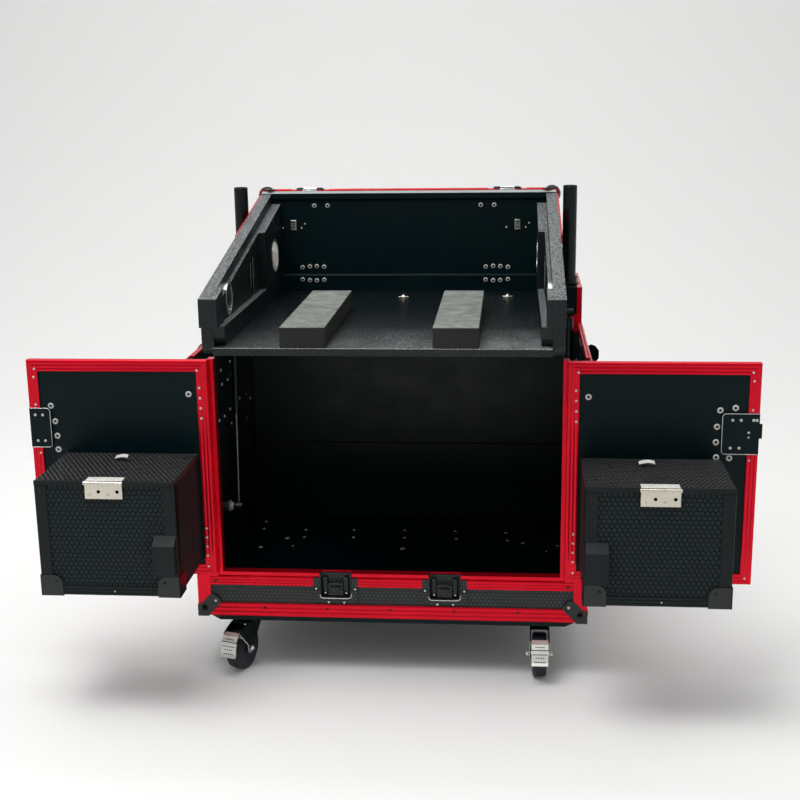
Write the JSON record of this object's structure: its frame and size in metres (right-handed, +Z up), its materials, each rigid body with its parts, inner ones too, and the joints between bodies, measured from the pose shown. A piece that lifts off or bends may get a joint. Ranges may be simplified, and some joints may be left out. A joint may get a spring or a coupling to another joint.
{
  "type": "mixer flight case",
  "caption": "Wheeled flight case for a mixing desk: open cabinet, hinged doors with lidded storage boxes, and a flip-up console tray with a sloping back.",
  "frame": {"origin": "middle of the overall footprint, on the floor under the castors", "axes": "+X across the case towards the right door as seen from the front, +Y from front to back, +Z up"},
  "size_m": [1.808, 1.0773, 1.207],
  "materials": {
    "red_anodised": "ribbed extrusion, anodised",
    "black_laminate": "phenolic-faced birch plywood, embossed",
    "black_plastic": "moulded nylon",
    "black_steel": "black coated steel",
    "grained_trim": "plywood wrapped in grained vinyl",
    "grey_foam": "closed-cell foam",
    "black_rubber": "moulded",
    "zinc_steel": "zinc plated"
  },
  "bodies": {
    "cabinet": {"castor_board": "black_laminate", "base_frame": "red_anodised", "opening_frame": "red_anodised", "front_panel": "black_laminate", "back_wall": "black_laminate", "side_wall_left": "black_laminate", "side_wall_right": "black_laminate", "top_frame": "red_anodised", "tower_left": "black_laminate", "tower_right": "black_laminate", "post_left": "black_steel", "post_right": "black_steel", "ball_corner_front_left": "black_plastic", "ball_corner_front_right": "black_plastic", "ball_corner_rear_left": "black_plastic", "ball_corner_rear_right": "black_plastic"},
    "tray": {"tray_floor": "black_laminate", "cheek_left": "grained_trim", "cheek_right": "grained_trim", "rear_panel": "black_laminate", "shell_frame": "red_anodised", "shell_corner_left": "black_plastic", "shell_corner_right": "black_plastic", "foam_left": "grey_foam", "foam_right": "grey_foam"},
    "door_left": {"door_frame_left": "red_anodised", "door_panel_left": "black_laminate", "storage_box_left": "black_laminate", "lid_hinge_left": "zinc_steel", "box_buffer_left": "black_rubber"},
    "lid_left": {"box_lid_left": "black_laminate"},
    "door_latch_left": {"door_latch_left": "black_steel"},
    "side_latch_left": {"side_latch_left": "black_steel"},
    "shell_latch_left": {"shell_latch_left": "black_steel"},
    "spring_rod_left": {"spring_rod_left": "zinc_steel"},
    "spring_tube_left": {"spring_tube_left": "black_steel"},
    "door_right": {"door_frame_right": "red_anodised", "door_panel_right": "black_laminate", "storage_box_right": "black_laminate", "lid_hinge_right": "zinc_steel", "box_buffer_right": "black_rubber"},
    "lid_right": {"box_lid_right": "black_laminate"},
    "door_latch_right": {"door_latch_right": "black_steel"},
    "side_latch_right": {"side_latch_right": "black_steel"},
    "shell_latch_right": {"shell_latch_right": "black_steel"},
    "spring_rod_right": {"spring_rod_right": "zinc_steel"},
    "spring_tube_right": {"spring_tube_right": "black_steel"},
    "centre_latch": {"centre_latch": "black_steel"},
    "fork_front_left": {"fork_front_left": "black_steel"},
    "wheel_front_left": {"wheel_front_left": "black_rubber"},
    "pedal_front_left": {"pedal_front_left": "zinc_steel"},
    "fork_front_right": {"fork_front_right": "black_steel"},
    "wheel_front_right": {"wheel_front_right": "black_rubber"},
    "pedal_front_right": {"pedal_front_right": "zinc_steel"},
    "fork_rear_left": {"fork_rear_left": "black_steel"},
    "wheel_rear_left": {"wheel_rear_left": "black_rubber"},
    "pedal_rear_left": {"pedal_rear_left": "zinc_steel"},
    "fork_rear_right": {"fork_rear_right": "black_steel"},
    "wheel_rear_right": {"wheel_rear_right": "black_rubber"},
    "pedal_rear_right": {"pedal_rear_right": "zinc_steel"}
  },
  "joints": [
    {"name": "tray_flip", "type": "hinge", "parent": "cabinet", "child": "tray", "pos_m": [0, 0.28, 0.885], "axis": [1, 0, 0], "range_deg": [0, 90]},
    {"name": "door_left_hinge", "type": "hinge", "parent": "cabinet", "child": "door_left", "pos_m": [-0.45, -0.2625, 0.276], "axis": [0, 0, -1], "range_deg": [-180, 0]},
    {"name": "lid_left_hinge", "type": "hinge", "parent": "door_left", "child": "lid_left", "pos_m": [-0.6445, -0.515, 0.595], "axis": [1, 0, 0], "range_deg": [0, 95]},
    {"name": "door_latch_left_twist", "type": "hinge", "parent": "door_left", "child": "door_latch_left", "pos_m": [-0.76, -0.2567, 0.316], "axis": [0, 1, 0], "range_deg": [0, 180]},
    {"name": "side_latch_left_twist", "type": "hinge", "parent": "cabinet", "child": "side_latch_left", "pos_m": [-0.4963, 0, 0.7987], "axis": [-1, 0, 0], "range_deg": [0, 180]},
    {"name": "shell_latch_left_twist", "type": "hinge", "parent": "tray", "child": "shell_latch_left", "pos_m": [-0.29, 0.5073, 1.122], "axis": [0, 1, 0], "range_deg": [0, 180]},
    {"name": "spring_left_lean", "type": "hinge", "parent": "cabinet", "child": "spring_rod_left", "pos_m": [-0.462, 0.11, 0.33], "axis": [1, 0, 0], "range_deg": [-19.5, 0]},
    {"name": "spring_left_stroke", "type": "slide", "parent": "spring_rod_left", "child": "spring_tube_left", "axis": [0, 0.0631, 0.998], "range_m": [-0.104, 0]},
    {"name": "door_right_hinge", "type": "hinge", "parent": "cabinet", "child": "door_right", "pos_m": [0.45, -0.2625, 0.276], "axis": [0, 0, 1], "range_deg": [-180, 0]},
    {"name": "lid_right_hinge", "type": "hinge", "parent": "door_right", "child": "lid_right", "pos_m": [0.6445, -0.515, 0.595], "axis": [1, 0, 0], "range_deg": [0, 95]},
    {"name": "door_latch_right_twist", "type": "hinge", "parent": "door_right", "child": "door_latch_right", "pos_m": [0.76, -0.2567, 0.316], "axis": [0, 1, 0], "range_deg": [0, 180]},
    {"name": "side_latch_right_twist", "type": "hinge", "parent": "cabinet", "child": "side_latch_right", "pos_m": [0.4963, 0, 0.7987], "axis": [1, 0, 0], "range_deg": [0, 180]},
    {"name": "shell_latch_right_twist", "type": "hinge", "parent": "tray", "child": "shell_latch_right", "pos_m": [0.29, 0.5073, 1.122], "axis": [0, 1, 0], "range_deg": [0, 180]},
    {"name": "spring_right_lean", "type": "hinge", "parent": "cabinet", "child": "spring_rod_right", "pos_m": [0.462, 0.11, 0.33], "axis": [1, 0, 0], "range_deg": [-19.5, 0]},
    {"name": "spring_right_stroke", "type": "slide", "parent": "spring_rod_right", "child": "spring_tube_right", "axis": [0, 0.0631, 0.998], "range_m": [-0.104, 0]},
    {"name": "centre_latch_twist", "type": "hinge", "parent": "door_right", "child": "centre_latch", "pos_m": [0.8475, -0.2567, 0.663], "axis": [0, 1, 0], "range_deg": [0, 180]},
    {"name": "swivel_front_left", "type": "hinge", "parent": "cabinet", "child": "fork_front_left", "pos_m": [-0.383, -0.188, 0.1277], "axis": [0, 0, 1], "continuous": true},
    {"name": "roll_front_left", "type": "hinge", "parent": "fork_front_left", "child": "wheel_front_left", "pos_m": [-0.39536, -0.22604, 0.056], "axis": [0.9511, -0.309, 0], "continuous": true},
    {"name": "brake_front_left", "type": "hinge", "parent": "fork_front_left", "child": "pedal_front_left", "pos_m": [-0.40896, -0.26789, 0.108], "axis": [0.9511, -0.309, 0], "range_deg": [-6, 10]},
    {"name": "swivel_front_right", "type": "hinge", "parent": "cabinet", "child": "fork_front_right", "pos_m": [0.383, -0.188, 0.1277], "axis": [0, 0, 1], "continuous": true},
    {"name": "roll_front_right", "type": "hinge", "parent": "fork_front_right", "child": "wheel_front_right", "pos_m": [0.383, -0.228, 0.056], "axis": [1, 0, 0], "continuous": true},
    {"name": "brake_front_right", "type": "hinge", "parent": "fork_front_right", "child": "pedal_front_right", "pos_m": [0.383, -0.272, 0.108], "axis": [1, 0, 0], "range_deg": [-6, 10]},
    {"name": "swivel_rear_left", "type": "hinge", "parent": "cabinet", "child": "fork_rear_left", "pos_m": [-0.383, 0.468, 0.1277], "axis": [0, 0, 1], "continuous": true},
    {"name": "roll_rear_left", "type": "hinge", "parent": "fork_rear_left", "child": "wheel_rear_left", "pos_m": [-0.383, 0.428, 0.056], "axis": [1, 0, 0], "continuous": true},
    {"name": "brake_rear_left", "type": "hinge", "parent": "fork_rear_left", "child": "pedal_rear_left", "pos_m": [-0.383, 0.384, 0.108], "axis": [1, 0, 0], "range_deg": [-6, 10]},
    {"name": "swivel_rear_right", "type": "hinge", "parent": "cabinet", "child": "fork_rear_right", "pos_m": [0.383, 0.468, 0.1277], "axis": [0, 0, 1], "continuous": true},
    {"name": "roll_rear_right", "type": "hinge", "parent": "fork_rear_right", "child": "wheel_rear_right", "pos_m": [0.383, 0.428, 0.056], "axis": [1, 0, 0], "continuous": true},
    {"name": "brake_rear_right", "type": "hinge", "parent": "fork_rear_right", "child": "pedal_rear_right", "pos_m": [0.383, 0.384, 0.108], "axis": [1, 0, 0], "range_deg": [-6, 10]}
  ],
  "couplings": [
    {"joint": "spring_left_lean", "follows": "tray_flip", "ratio": -0.20598},
    {"joint": "spring_left_stroke", "follows": "tray_flip", "m_per_rad": -0.0647},
    {"joint": "spring_right_lean", "follows": "tray_flip", "ratio": -0.20598},
    {"joint": "spring_right_stroke", "follows": "tray_flip", "m_per_rad": -0.0647}
  ]
}
